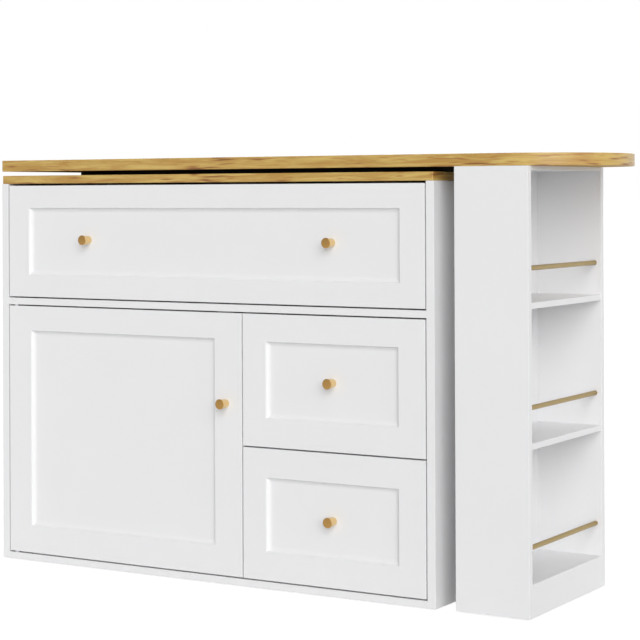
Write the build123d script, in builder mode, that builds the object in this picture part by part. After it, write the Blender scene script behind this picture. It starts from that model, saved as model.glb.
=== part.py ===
from build123d import *
import math
import os

# A kitchen island: a cabinet with a wide drawer, a door and two small drawers, and an upper top that
# swivels on a flat ball bearing and stands on an open rack with casters at its far end.
# Sizes are in millimetres. X runs along the front to the right, Y to the back and Z up. The origin is on
# the floor, under the middle of the whole object.

# Cabinet carcass
cabinet_width = 1100.0
cabinet_depth = 374.0
carcass_height = 844.5
side_thickness = 18.0
deck_thickness = 15.0
back_thickness = 5.0
deck_height = 573.0  # underside of the middle deck above the carcass base
glide_height = 3.0
glide_radius = 14.0
glide_inset = 45.0
board_round = 0.6  # eased edges of the painted boards

# Tops
lower_top_thickness = 18.0
lower_top_setback = 2.0
upper_top_thickness = 25.0
upper_top_length = 1432.0
top_round = 1.5

# Door and drawer fronts, set into the carcass flush with its front edges
front_thickness = 18.0
front_gap = 3.0
top_gap = 4.5  # above the wide drawer's front
drawer_seam = 292.8  # height of the seam between the small drawers above the carcass base
door_seam = 647.3  # seam between the door and the small drawers, from the cabinet's left end
recess_depth = 8.0
cove_width = 10.5  # hollow slope between a front's frame and its field
cove_steps = 4
door_left_stile = 62.0
door_right_stile = 68.0
door_low_rail = 62.0
door_high_rail = 54.5
drawer_left_stile = 57.0
drawer_right_stile = 60.5
drawer_rail = 60.0
upper_high_rail = 57.0
wide_stile = 56.5
wide_rail = 50.0
front_round = 1.0

# Knobs
knob_length = 24.5
knob_face_radius = 10.8
knob_base_radius = 8.8
knob_round = 0.8
wide_knob_spread = 622.0
wide_knob_lift = 4.0  # above the middle of the wide drawer's front
lower_knob_drop = 2.0  # below the middle of the lower drawer's front
door_knob_inset = 40.0  # from the door's right edge
door_knob_height = 380.0  # above the carcass base
knob_screw_radius = 2.0
knob_screw_head_radius = 4.0
knob_screw_head = 2.4
knob_screw_grip = 9.0
screw_clearance = 0.1

# Drawer boxes and their telescopic slides
box_wall = 12.0
box_base = 5.0
base_lift = 8.0
groove_depth = 6.0
groove_clearance = 0.1
box_floor_gap = 12.0
wide_box_height = 190.0
small_box_height = 200.0
box_back_gap = 25.0
slide_thickness = 12.7
slide_height = 35.0
rail_wall = 1.2
rail_clearance = 0.4
rail_lift = 60.0  # centre of the slides above the box's lower edge
rail_front_gap = 3.0
rail_end_gap = 20.0

# Door pivots, catch and the shelf behind the door
hinge_inset = 16.0
hinge_setback = 7.0
pivot_radius = 2.5
pivot_depth = 10.0
pivot_reach = 9.0
pivot_clearance = 0.05
bush_radius = 4.5
bush_length = 12.0
bush_flange_radius = 6.0
bush_end_gap = 0.1
catch_width = 45.0
catch_depth = 16.0
catch_height = 14.0
catch_inset = 30.0
catch_gap = 0.3
strike_thickness = 1.2
strike_margin = 3.0
shelf_height = 270.0
shelf_front_gap = 45.0
shelf_end_gap = 1.0
shelf_pin_radius = 2.5
shelf_pin_depth = 9.0
shelf_pin_reach = 8.0
shelf_pin_inset = 45.0

# Swivel bearing between the tops
bearing_height = 9.5
bearing_radius = 85.0
bearing_bore = 45.0
plate_thickness = 2.0
skirt_wall = 2.0
skirt_gap = 2.0
skirt_lift = 0.7
pivot_from_left = 187.0
ball_circle_radius = 65.0
ball_radius = 3.0
ball_count = 24
race_clearance = 0.3
cage_thickness = 1.6
cage_width = 14.0
pocket_clearance = 0.15
plate_screw_circle_radius = 52.0
plate_screw_count = 4
lower_screw_angle = 0.0
upper_screw_angle = 45.0
plate_screw_radius = 1.75
plate_screw_head_radius = 3.4
plate_screw_length = 14.0

# Steel bars that stiffen the upper top
bar_width = 25.0
bar_inset = 50.0
bar_clearance = 0.6
bar_bearing_gap = 12.0
bar_rack_gap = 6.0
bar_screw_inset = 30.0
bar_screw_count = 4
bar_screw_radius = 2.0
bar_screw_head_radius = 4.0
bar_screw_head = 2.3
bar_screw_bite = 14.0

# Rack under the far end of the upper top
rack_gap = 44.5
rack_width = 158.0
rack_floor_gap = 5.0
rack_board = 15.0
rack_shelf = 12.0
rack_cap = 8.0  # the board under the upper top
rack_shelf_setback = 1.0
plinth_height = 65.0
shelf_pitch = 270.5
shelf_count = 3
rod_radius = 5.0
rod_lift = 66.0  # centre of a rod above its shelf
rod_setback = 14.5
rod_socket = 6.0  # depth of the blind holes that hold a rod's ends
rod_end_gap = 0.2
rack_screw_inset = 30.0

# Casters under the rack
wheel_radius = 22.0
wheel_width = 18.0
wheel_round = 3.0
wheel_side_gap = 1.0
axle_radius = 3.0
axle_head_radius = 5.0
axle_head = 2.0
axle_clearance = 0.05
axle_end_gap = 0.1
bracket_wall = 2.5
bracket_length = 36.0
bracket_drop = 5.0  # the bracket's legs below the wheel's centre
caster_spread = 214.0

# Limits of the carcass
left = -upper_top_length / 2
right = left + cabinet_width
front = (knob_length - cabinet_depth) / 2
back = front + cabinet_depth
base = glide_height
carcass_top = base + carcass_height
carcass_back = back - back_thickness
inside_left = left + side_thickness
inside_right = right - side_thickness
bottom_top = base + deck_thickness
deck_low = base + deck_height
deck_top = deck_low + deck_thickness
carcass_y = (front, carcass_back)

# Limits of the tops and the swivel's centre
lower_top_high = carcass_top + lower_top_thickness
upper_top_low = lower_top_high + bearing_height
upper_top_end = left + upper_top_length
top_end_radius = cabinet_depth / 2
pivot_x = left + pivot_from_left
pivot_y = (front + back) / 2

# Limits of the fronts
front_y = (front, front + front_thickness)
door_x = (inside_left + front_gap, left + door_seam - front_gap / 2)
small_x = (left + door_seam + front_gap / 2, inside_right - front_gap)
wide_x = (inside_left + front_gap, inside_right - front_gap)
door_z = (bottom_top + front_gap, deck_low - front_gap)
lower_z = (bottom_top + front_gap, base + drawer_seam - front_gap / 2)
upper_z = (base + drawer_seam + front_gap / 2, deck_low - front_gap)
wide_z = (deck_top + front_gap, carcass_top - top_gap)
divider_x = (left + door_seam - deck_thickness / 2, left + door_seam + deck_thickness / 2)

# Limits of the rack
rack_x = (right + rack_gap, right + rack_gap + rack_width)
rack_inside_x = rack_x[0] + rack_board
rack_y = (front + rack_board, back - rack_board)
rack_z = (rack_floor_gap, upper_top_low)
plinth_top = rack_floor_gap + plinth_height


def middle(span):
    """The middle of a span given by its low and high limits."""
    return (span[0] + span[1]) / 2


def length_of(span):
    """The length of a span given by its low and high limits."""
    return span[1] - span[0]


def block(x, y, z, mode=Mode.ADD):
    """A rectangular block between its low and high limits on each axis."""
    with Locations((middle(x), middle(y), middle(z))):
        Box(length_of(x), length_of(y), length_of(z), mode=mode)


def round_bars(points, direction, radius, length, mode=Mode.ADD):
    """Round bars, or bores where they are taken away, from the points along the direction."""
    with Locations(*[Plane(origin=point, z_dir=direction) for point in points]):
        Cylinder(radius, length, align=(Align.CENTER, Align.CENTER, Align.MIN), mode=mode)


def countersunk(points, direction, head_radius, head, radius, length, mode=Mode.ADD):
    """Flat head screws, or their seats, from the points on the head's face along the direction."""
    round_bars(points, direction, radius, length, mode)
    with Locations(*[Plane(origin=point, z_dir=direction) for point in points]):
        Cone(head_radius, radius, head, align=(Align.CENTER, Align.CENTER, Align.MIN), mode=mode)


def save(piece, name):
    """Label a finished piece and write it as its own file."""
    piece.part.label = name
    export_step(piece.part, f"parts/{name}.step")


def save_board(name, x, y, z):
    """A painted board with eased edges and nothing cut into it."""
    with BuildPart() as board:
        block(x, y, z)
        fillet(board.edges(), board_round)
    save(board, name)


os.makedirs("parts", exist_ok=True)

# Carcass: side panels with the holes for the shelf pins
shelf_x = (inside_left + shelf_end_gap, divider_x[0] - shelf_end_gap)
shelf_y = (front + shelf_front_gap, carcass_back - shelf_end_gap)
shelf_low = base + shelf_height
pin_y = (shelf_y[0] + shelf_pin_inset, shelf_y[1] - shelf_pin_inset)
left_pins = [(inside_left + shelf_pin_reach, y, shelf_low - shelf_pin_radius) for y in pin_y]
right_pins = [(divider_x[0] - shelf_pin_reach, y, shelf_low - shelf_pin_radius) for y in pin_y]
shelf_pin_length = shelf_pin_depth + shelf_pin_reach
pin_hole_radius = shelf_pin_radius + screw_clearance

with BuildPart() as left_side_panel:
    block((left, inside_left), carcass_y, (base, carcass_top))
    fillet(left_side_panel.edges(), board_round)
    round_bars(left_pins, (-1, 0, 0), pin_hole_radius, shelf_pin_length, Mode.SUBTRACT)
save(left_side_panel, "left_side_panel")

save_board("right_side_panel", (inside_right, right), carcass_y, (base, carcass_top))

# Carcass: bottom panel and middle deck, each with a socket for a door pivot
hinge_x = door_x[0] + hinge_inset
hinge_y = front + hinge_setback
low_pivot = (hinge_x, hinge_y, bottom_top - pivot_depth)
high_pivot = (hinge_x, hinge_y, deck_low + pivot_depth)
pivot_length = pivot_depth + front_gap + pivot_reach
pivot_hole_radius = pivot_radius + screw_clearance

with BuildPart() as bottom_panel:
    block((inside_left, inside_right), carcass_y, (base, bottom_top))
    fillet(bottom_panel.edges(), board_round)
    round_bars([low_pivot], (0, 0, 1), pivot_hole_radius, pivot_length, Mode.SUBTRACT)
save(bottom_panel, "bottom_panel")

with BuildPart() as middle_deck:
    block((inside_left, inside_right), carcass_y, (deck_low, deck_top))
    fillet(middle_deck.edges(), board_round)
    round_bars([high_pivot], (0, 0, -1), pivot_hole_radius, pivot_length, Mode.SUBTRACT)
save(middle_deck, "middle_deck")

with BuildPart() as door_pivot_pins:
    round_bars([low_pivot], (0, 0, 1), pivot_radius, pivot_length)
    round_bars([high_pivot], (0, 0, -1), pivot_radius, pivot_length)
save(door_pivot_pins, "door_pivot_pins")

# Carcass: divider behind the seam of door and drawers, and the back
with BuildPart() as centre_divider:
    block(divider_x, (front_y[1] + front_gap, carcass_back), (bottom_top, deck_low))
    fillet(centre_divider.edges(), board_round)
    round_bars(right_pins, (1, 0, 0), pin_hole_radius, shelf_pin_length, Mode.SUBTRACT)
save(centre_divider, "centre_divider")

save_board("back_panel", (left, right), (carcass_back, back), (base, carcass_top))

# Shelf behind the door on four pins
save_board("cupboard_shelf", shelf_x, shelf_y, (shelf_low, shelf_low + deck_thickness))

with BuildPart() as shelf_pins:
    round_bars(left_pins, (-1, 0, 0), shelf_pin_radius, shelf_pin_length)
    round_bars(right_pins, (1, 0, 0), shelf_pin_radius, shelf_pin_length)
save(shelf_pins, "shelf_pins")

# Floor glides under the bottom panel
glide_x = (left + glide_inset, middle((left, right)), right - glide_inset)
glide_y = (front + glide_inset, back - glide_inset)
glide_points = [(x, y, 0) for x in glide_x for y in glide_y]

with BuildPart() as floor_glides:
    round_bars(glide_points, (0, 0, 1), glide_radius, glide_height)
save(floor_glides, "floor_glides")

# Magnetic catch under the middle deck
catch_x = (door_x[1] - catch_inset - catch_width, door_x[1] - catch_inset)
catch_front = front_y[1] + strike_thickness + catch_gap
catch_y = (catch_front, catch_front + catch_depth)

with BuildPart() as magnetic_catch:
    block(catch_x, catch_y, (deck_low - catch_height, deck_low))
    fillet(magnetic_catch.edges().filter_by(Axis.Y), board_round)
save(magnetic_catch, "magnetic_catch")

# Swivel bearing: ring plates above and below a caged circle of balls
bearing_centre = (pivot_x, pivot_y, lower_top_high + bearing_height / 2)
lower_centre = (pivot_x, pivot_y, lower_top_high)
upper_centre = (pivot_x, pivot_y, upper_top_low)
skirt_centre = (pivot_x, pivot_y, upper_top_low - plate_thickness)
lower_plate_radius = bearing_radius - skirt_wall - skirt_gap
race_radius = ball_radius + race_clearance
seat_radius = plate_screw_radius + screw_clearance
seat_head_radius = plate_screw_head_radius + screw_clearance
ring_align = (Align.CENTER, Align.CENTER, Align.MIN)


def screw_circle(z, start_angle):
    """Points of the plate screws on their circle, at a height and from a first angle."""
    angles = [start_angle + index * 360 / plate_screw_count for index in range(plate_screw_count)]
    turns = [math.radians(angle) for angle in angles]
    return [
        (
            pivot_x + plate_screw_circle_radius * math.cos(turn),
            pivot_y + plate_screw_circle_radius * math.sin(turn),
            z,
        )
        for turn in turns
    ]


lower_screw_points = screw_circle(lower_top_high + plate_thickness, lower_screw_angle)
upper_screw_points = screw_circle(upper_top_low - plate_thickness, upper_screw_angle)
plate_screw = (plate_screw_head_radius, plate_thickness, plate_screw_radius, plate_screw_length)
plate_seat = (seat_head_radius, plate_thickness, seat_radius, plate_screw_length + screw_clearance)

with BuildPart() as bearing_lower_plate:
    round_bars([lower_centre], (0, 0, 1), lower_plate_radius, plate_thickness)
    round_bars([lower_centre], (0, 0, 1), bearing_bore, plate_thickness, Mode.SUBTRACT)
    with Locations(bearing_centre):
        Torus(ball_circle_radius, race_radius, mode=Mode.SUBTRACT)
    countersunk(lower_screw_points, (0, 0, -1), *plate_seat, Mode.SUBTRACT)
save(bearing_lower_plate, "bearing_lower_plate")

with BuildPart() as bearing_lower_screws:
    countersunk(lower_screw_points, (0, 0, -1), *plate_screw)
save(bearing_lower_screws, "bearing_lower_screws")

with BuildPart() as bearing_upper_plate:
    round_bars([upper_centre], (0, 0, -1), bearing_radius, bearing_height - skirt_lift)
    round_bars([skirt_centre], (0, 0, -1), bearing_radius - skirt_wall, bearing_height, Mode.SUBTRACT)
    round_bars([upper_centre], (0, 0, -1), bearing_bore, plate_thickness, Mode.SUBTRACT)
    with Locations(bearing_centre):
        Torus(ball_circle_radius, race_radius, mode=Mode.SUBTRACT)
    countersunk(upper_screw_points, (0, 0, 1), *plate_seat, Mode.SUBTRACT)
save(bearing_upper_plate, "bearing_upper_plate")

with BuildPart(Plane(origin=bearing_centre)) as bearing_cage:
    Cylinder(ball_circle_radius + cage_width / 2, cage_thickness)
    Cylinder(ball_circle_radius - cage_width / 2, cage_thickness, mode=Mode.SUBTRACT)
    with PolarLocations(ball_circle_radius, ball_count):
        Cylinder(ball_radius + pocket_clearance, cage_thickness, mode=Mode.SUBTRACT)
save(bearing_cage, "bearing_cage")

with BuildPart(Plane(origin=bearing_centre)) as bearing_balls:
    with PolarLocations(ball_circle_radius, ball_count):
        Sphere(ball_radius)
save(bearing_balls, "bearing_balls")

# Lower top on the carcass
lower_top_x = (left + lower_top_setback, right - lower_top_setback)

with BuildPart() as lower_top:
    block(lower_top_x, (front, back), (carcass_top, lower_top_high))
    fillet(lower_top.edges(), top_round)
    countersunk(lower_screw_points, (0, 0, -1), *plate_seat, Mode.SUBTRACT)
save(lower_top, "lower_top")

# Stiffener bars under the upper top, and every screw that goes up into the top
bar_x = (pivot_x + bearing_radius + bar_bearing_gap, rack_x[0] - bar_rack_gap)
bar_z = (lower_top_high + bar_clearance, upper_top_low)
front_bar_y = (front + bar_inset, front + bar_inset + bar_width)
back_bar_y = (back - bar_inset - bar_width, back - bar_inset)
bar_screw_step = (length_of(bar_x) - 2 * bar_screw_inset) / (bar_screw_count - 1)
bar_screw_points = [
    (bar_x[0] + bar_screw_inset + index * bar_screw_step, middle(y), bar_z[0])
    for y in (front_bar_y, back_bar_y)
    for index in range(bar_screw_count)
]
bar_screw_length = length_of(bar_z) + bar_screw_bite
bar_screw = (bar_screw_head_radius, bar_screw_head, bar_screw_radius, bar_screw_length)
bar_seat = (
    bar_screw_head_radius + screw_clearance,
    bar_screw_head,
    bar_screw_radius + screw_clearance,
    bar_screw_length + screw_clearance,
)

rack_screw_x = (rack_inside_x + rack_screw_inset, rack_x[1] - rack_screw_inset)
rack_screw_y = (rack_y[0] + rack_screw_inset, rack_y[1] - rack_screw_inset)
rack_screw_points = [(x, y, upper_top_low - rack_cap) for x in rack_screw_x for y in rack_screw_y]
rack_screw_length = rack_cap + bar_screw_bite
rack_screw = (bar_screw_head_radius, bar_screw_head, bar_screw_radius, rack_screw_length)
rack_seat = (
    bar_screw_head_radius + screw_clearance,
    bar_screw_head,
    bar_screw_radius + screw_clearance,
    rack_screw_length + screw_clearance,
)

with BuildPart() as stiffener_bars:
    for bar_y in (front_bar_y, back_bar_y):
        block(bar_x, bar_y, bar_z)
    countersunk(bar_screw_points, (0, 0, 1), *bar_seat, Mode.SUBTRACT)
save(stiffener_bars, "stiffener_bars")

with BuildPart() as top_fixing_screws:
    countersunk(upper_screw_points, (0, 0, 1), *plate_screw)
    countersunk(bar_screw_points, (0, 0, 1), *bar_screw)
    countersunk(rack_screw_points, (0, 0, 1), *rack_screw)
save(top_fixing_screws, "top_fixing_screws")

# Upper top: square at the bearing's end, a half circle at the rack's end
straight_x = (left, upper_top_end - top_end_radius)

with BuildPart() as upper_top:
    with BuildSketch(Plane.XY.offset(upper_top_low)):
        with Locations((middle(straight_x), pivot_y)):
            Rectangle(length_of(straight_x), cabinet_depth)
        with Locations((straight_x[1], pivot_y)):
            Circle(top_end_radius)
    extrude(amount=upper_top_thickness)
    fillet(upper_top.edges(), top_round)
    countersunk(upper_screw_points, (0, 0, 1), *plate_seat, Mode.SUBTRACT)
    countersunk(bar_screw_points, (0, 0, 1), *bar_seat, Mode.SUBTRACT)
    countersunk(rack_screw_points, (0, 0, 1), *rack_seat, Mode.SUBTRACT)
save(upper_top, "upper_top")

# Rack: front, back and inner panels, shelves, top board and plinth
rod_x = rack_x[1] - rod_setback
shelf_tops = [plinth_top + index * shelf_pitch for index in range(shelf_count)]
rod_heights = [shelf_top + rod_lift for shelf_top in shelf_tops]
shelf_right = rack_x[1] - rack_shelf_setback
plinth_x = (rack_x[1] - rack_shelf, rack_x[1])


def save_rod_panel(name, y, inside_y, outward):
    """An end panel of the rack with blind holes for the rods, from its inside face outward along Y."""
    ends = [(rod_x, inside_y, height) for height in rod_heights]
    with BuildPart() as panel:
        block(rack_x, y, rack_z)
        fillet(panel.edges(), board_round)
        round_bars(ends, (0, outward, 0), rod_radius + screw_clearance, rod_socket, Mode.SUBTRACT)
    save(panel, name)


save_rod_panel("rack_front_panel", (front, rack_y[0]), rack_y[0], -1)
save_rod_panel("rack_back_panel", (rack_y[1], back), rack_y[1], 1)
save_board("rack_inner_panel", (rack_x[0], rack_inside_x), rack_y, rack_z)
save_board("rack_plinth", plinth_x, rack_y, (rack_floor_gap, plinth_top))

with BuildPart() as rack_shelves:
    for shelf_top in shelf_tops:
        shelf_end = plinth_x[0] if shelf_top == plinth_top else shelf_right
        block((rack_inside_x, shelf_end), rack_y, (shelf_top - rack_shelf, shelf_top))
    block((rack_inside_x, shelf_right), rack_y, (upper_top_low - rack_cap, upper_top_low))
    fillet(rack_shelves.edges(), board_round)
    countersunk(rack_screw_points, (0, 0, 1), *rack_seat, Mode.SUBTRACT)
save(rack_shelves, "rack_shelves")

# Guard rods, held by their ends in the front and back panels
rod_reach = rod_socket - rod_end_gap
rod_starts = [(rod_x, rack_y[0] - rod_reach, height) for height in rod_heights]

with BuildPart() as guard_rods:
    round_bars(rod_starts, (0, 1, 0), rod_radius, length_of(rack_y) + 2 * rod_reach)
save(guard_rods, "guard_rods")

# Casters: the axles point at the swivel's centre, so the wheels roll along its circle
caster_x = middle((rack_inside_x, plinth_x[0]))
caster_names = ("front", "rear")
caster_y = (pivot_y - caster_spread / 2, pivot_y + caster_spread / 2)
caster_planes = [
    Plane(origin=(caster_x, y, wheel_radius), x_dir=(caster_x - pivot_x, y - pivot_y, 0), z_dir=(0, 0, 1))
    for y in caster_y
]
bracket_top = plinth_top - rack_shelf - wheel_radius
leg_inside = wheel_width / 2 + wheel_side_gap
leg_outside = leg_inside + bracket_wall
axle_hole_radius = axle_radius + axle_clearance

with BuildPart(*caster_planes) as caster_brackets:
    half_length = bracket_length / 2
    block((-leg_outside, leg_outside), (-half_length, half_length), (-bracket_drop, bracket_top))
    block(
        (-leg_inside, leg_inside),
        (-half_length, half_length),
        (-bracket_drop, bracket_top - bracket_wall),
        Mode.SUBTRACT,
    )
    round_bars([(-leg_outside, 0, 0)], (1, 0, 0), axle_hole_radius, 2 * leg_outside, Mode.SUBTRACT)
save(caster_brackets, "caster_brackets")

axle_reach = leg_outside + axle_end_gap

with BuildPart(*caster_planes) as caster_axles:
    round_bars([(-axle_reach, 0, 0)], (1, 0, 0), axle_radius, 2 * axle_reach)
    round_bars([(-axle_reach, 0, 0)], (-1, 0, 0), axle_head_radius, axle_head)
    round_bars([(axle_reach, 0, 0)], (1, 0, 0), axle_head_radius, axle_head)
save(caster_axles, "caster_axles")

for caster_name, caster_plane in zip(caster_names, caster_planes):
    with BuildPart(caster_plane) as caster_wheel:
        round_bars([(-wheel_width / 2, 0, 0)], (1, 0, 0), wheel_radius, wheel_width)
        fillet(caster_wheel.edges(), wheel_round)
        round_bars([(-wheel_width / 2, 0, 0)], (1, 0, 0), axle_hole_radius, wheel_width, Mode.SUBTRACT)
    save(caster_wheel, f"{caster_name}_caster_wheel")


def framed_front(x, z, stiles, rails):
    """A front board with a field sunk inside its frame, down a hollow slope all round.
    stiles are the frame's widths at the left and the right, rails those at the bottom and the top."""
    rim_x = (x[0] + stiles[0], x[1] - stiles[1])
    rim_z = (z[0] + rails[0], z[1] - rails[1])
    rim_plane = Plane(origin=(middle(rim_x), front, middle(rim_z)), x_dir=(1, 0, 0), z_dir=(0, -1, 0))
    block(x, front_y, z)
    fillet(edges_of_front(), front_round)
    sections = []
    for step in range(cove_steps + 1):
        turn = math.pi / 2 * step / cove_steps
        inset = cove_width * (1 - math.cos(turn))
        with BuildSketch(rim_plane.offset(-recess_depth * math.sin(turn))) as section:
            Rectangle(length_of(rim_x) - 2 * inset, length_of(rim_z) - 2 * inset)
        sections.append(section.sketch)
    loft(sections, ruled=True, mode=Mode.SUBTRACT)


def edges_of_front():
    """The edges round the front face of the board that is being made."""
    return edges().group_by(Axis.Y)[0]


def save_knobs(name, points):
    """Turned knobs that widen towards their faces, tapped from behind, at points on what they sit on."""
    with BuildPart() as knobs:
        with Locations(*[Plane(origin=point, z_dir=(0, -1, 0)) for point in points]):
            Cone(knob_base_radius, knob_face_radius, knob_length, align=ring_align)
        fillet(knobs.edges().group_by(Axis.Y)[0], knob_round)
        hole_radius = knob_screw_radius + screw_clearance
        round_bars(points, (0, -1, 0), hole_radius, knob_screw_grip + screw_clearance, Mode.SUBTRACT)
    save(knobs, name)


def save_knob_screws(name, points):
    """Screws from behind the front into the knobs at the points."""
    back_points = [(x, front_y[1], z) for x, y, z in points]
    length = front_y[1] - points[0][1] + knob_screw_grip
    with BuildPart() as screws:
        round_bars(back_points, (0, -1, 0), knob_screw_radius, length)
        round_bars(back_points, (0, 1, 0), knob_screw_head_radius, knob_screw_head)
    save(screws, name)


def knob_holes(points):
    """Through holes in a front for the knob screws at the points."""
    through = [(x, front_y[1], z) for x, y, z in points]
    hole_radius = knob_screw_radius + screw_clearance
    round_bars(through, (0, -1, 0), hole_radius, front_thickness, Mode.SUBTRACT)


def channels(plane_points, web_side, near, far, height):
    """Channel rails along Y: pairs of a point on the carrying face and the way to the drawer.
    near and far are the section's limits from that face, and web_side says which of them is the web."""
    opening = (near + rail_wall, far) if web_side == "near" else (near, far - rail_wall)
    for point, way in plane_points:
        section = Plane(origin=point, x_dir=(way, 0, 0), z_dir=(0, 1, 0))
        with BuildSketch(section) as profile:
            with Locations((middle((near, far)), 0)):
                Rectangle(far - near, height)
            with Locations((middle(opening), 0)):
                Rectangle(length_of(opening), height - 2 * rail_wall, mode=Mode.SUBTRACT)
        extrude(profile.sketch, amount=rail_length)


# Slides: three channels, one inside the other, between the carcass and the drawer box
box_y = (front_y[1], carcass_back - box_back_gap)
rail_start = box_y[0] + rail_front_gap
rail_length = box_y[1] - rail_end_gap - rail_start
middle_rail_height = slide_height - 2 * (rail_wall + rail_clearance)
box_rail_height = middle_rail_height - 2 * (rail_wall + rail_clearance)
cabinet_rail_span = (0, slide_thickness - 2 * (rail_wall + rail_clearance))
middle_rail_span = (rail_wall + rail_clearance, slide_thickness - rail_wall - rail_clearance)
box_rail_span = (2 * (rail_wall + rail_clearance), slide_thickness)


def rail_places(opening_x, face_z):
    """The points where a drawer's slides sit on the carcass, each with the way to the drawer."""
    height = face_z[0] + box_floor_gap + rail_lift
    return [((opening_x[0], rail_start, height), 1), ((opening_x[1], rail_start, height), -1)]


def save_drawer(name, face_x, face_z, opening_x, box_height, stiles, rails, knobs):
    """A drawer: its front, box, base, knobs, screws, and the moving rails of its slides.
    knobs are the X and Z of each knob's centre."""
    knob_points = [(x, front + recess_depth, z) for x, z in knobs]
    box_x = (opening_x[0] + slide_thickness, opening_x[1] - slide_thickness)
    box_z = (face_z[0] + box_floor_gap, face_z[0] + box_floor_gap + box_height)
    inner_x = (box_x[0] + box_wall, box_x[1] - box_wall)
    back_y = (box_y[1] - box_wall, box_y[1])
    base_x = (inner_x[0] - groove_depth, inner_x[1] + groove_depth)
    base_y = (box_y[0], back_y[0] + groove_depth)
    base_z = (box_z[0] + base_lift, box_z[0] + base_lift + box_base)
    groove_x = (base_x[0] - groove_clearance, base_x[1] + groove_clearance)
    groove_y = (base_y[0], base_y[1] + groove_clearance)
    groove_z = (base_z[0] - groove_clearance, base_z[1] + groove_clearance)
    places = rail_places(opening_x, face_z)

    with BuildPart() as drawer_front:
        framed_front(face_x, face_z, stiles, rails)
        knob_holes(knob_points)
    save(drawer_front, f"{name}_front")

    with BuildPart() as drawer_sides:
        block((box_x[0], inner_x[0]), box_y, box_z)
        block((inner_x[1], box_x[1]), box_y, box_z)
        fillet(drawer_sides.edges(), board_round)
        block(groove_x, groove_y, groove_z, Mode.SUBTRACT)
    save(drawer_sides, f"{name}_sides")

    with BuildPart() as drawer_back:
        block(inner_x, back_y, box_z)
        fillet(drawer_back.edges(), board_round)
        block(groove_x, groove_y, groove_z, Mode.SUBTRACT)
    save(drawer_back, f"{name}_back")

    with BuildPart() as drawer_base:
        block(base_x, base_y, base_z)
    save(drawer_base, f"{name}_base")

    plural = "s" if len(knob_points) > 1 else ""
    save_knobs(f"{name}_knob{plural}", knob_points)
    save_knob_screws(f"{name}_knob_screw{plural}", knob_points)

    with BuildPart() as box_rails:
        channels(places, "far", *box_rail_span, box_rail_height)
    save(box_rails, f"{name}_box_rails")

    with BuildPart() as middle_rails:
        channels(places, "near", *middle_rail_span, middle_rail_height)
    save(middle_rails, f"{name}_middle_rails")


# Drawers: the wide one over the whole width, and two small ones right of the divider
wide_opening = (inside_left, inside_right)
small_opening = (divider_x[1], inside_right)
wide_knobs = [
    (middle(wide_x) + way * wide_knob_spread / 2, middle(wide_z) + wide_knob_lift) for way in (-1, 1)
]
small_field_x = (small_x[0] + drawer_left_stile, small_x[1] - drawer_right_stile)
upper_field_z = (upper_z[0] + drawer_rail, upper_z[1] - upper_high_rail)
upper_knob = [(middle(small_field_x), middle(upper_field_z))]
lower_knob = [(middle(small_field_x), middle(lower_z) - lower_knob_drop)]
wide_frame = ((wide_stile, wide_stile), (wide_rail, wide_rail))
drawer_stiles = (drawer_left_stile, drawer_right_stile)
upper_frame = (drawer_stiles, (drawer_rail, upper_high_rail))
lower_frame = (drawer_stiles, (drawer_rail, drawer_rail))

save_drawer("wide_drawer", wide_x, wide_z, wide_opening, wide_box_height, *wide_frame, wide_knobs)
save_drawer("upper_drawer", small_x, upper_z, small_opening, small_box_height, *upper_frame, upper_knob)
save_drawer("lower_drawer", small_x, lower_z, small_opening, small_box_height, *lower_frame, lower_knob)

with BuildPart() as cabinet_rails:
    for opening, face in ((wide_opening, wide_z), (small_opening, upper_z), (small_opening, lower_z)):
        channels(rail_places(opening, face), "near", *cabinet_rail_span, slide_height)
save(cabinet_rails, "cabinet_rails")

# Door on two pivots at its left edge
door_knob_points = [(door_x[1] - door_knob_inset, front, base + door_knob_height)]
low_bush = (hinge_x, hinge_y, door_z[0])
high_bush = (hinge_x, hinge_y, door_z[1])
bush_hole_radius = pivot_radius + pivot_clearance
bush_seat_radius = bush_radius + screw_clearance

with BuildPart() as door_panel:
    framed_front(door_x, door_z, (door_left_stile, door_right_stile), (door_low_rail, door_high_rail))
    knob_holes(door_knob_points)
    round_bars([low_bush], (0, 0, 1), bush_seat_radius, bush_length, Mode.SUBTRACT)
    round_bars([high_bush], (0, 0, -1), bush_seat_radius, bush_length, Mode.SUBTRACT)
save(door_panel, "door_panel")

with BuildPart() as door_bushes:
    for bush, inward in ((low_bush, 1), (high_bush, -1)):
        round_bars([bush], (0, 0, inward), bush_radius, bush_length)
        round_bars([bush], (0, 0, -inward), bush_flange_radius, front_gap - bush_end_gap)
    round_bars([low_pivot], (0, 0, 1), bush_hole_radius, pivot_length + front_gap, Mode.SUBTRACT)
    round_bars([high_pivot], (0, 0, -1), bush_hole_radius, pivot_length + front_gap, Mode.SUBTRACT)
save(door_bushes, "door_bushes")

save_knobs("door_knob", door_knob_points)
save_knob_screws("door_knob_screw", door_knob_points)

strike_x = (catch_x[0] + strike_margin, catch_x[1] - strike_margin)
strike_z = (deck_low - catch_height, door_z[1] - strike_margin)

with BuildPart() as strike_plate:
    block(strike_x, (front_y[1], front_y[1] + strike_thickness), strike_z)
save(strike_plate, "strike_plate")
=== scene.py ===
"""Kitchen island with a swivel top: fronts, tops, knobs, finishes, light and camera round the solids.

All sizes are in metres in the frame of the solids: X along the front to the right, Y to the back, Z up.
"""

import math

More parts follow.
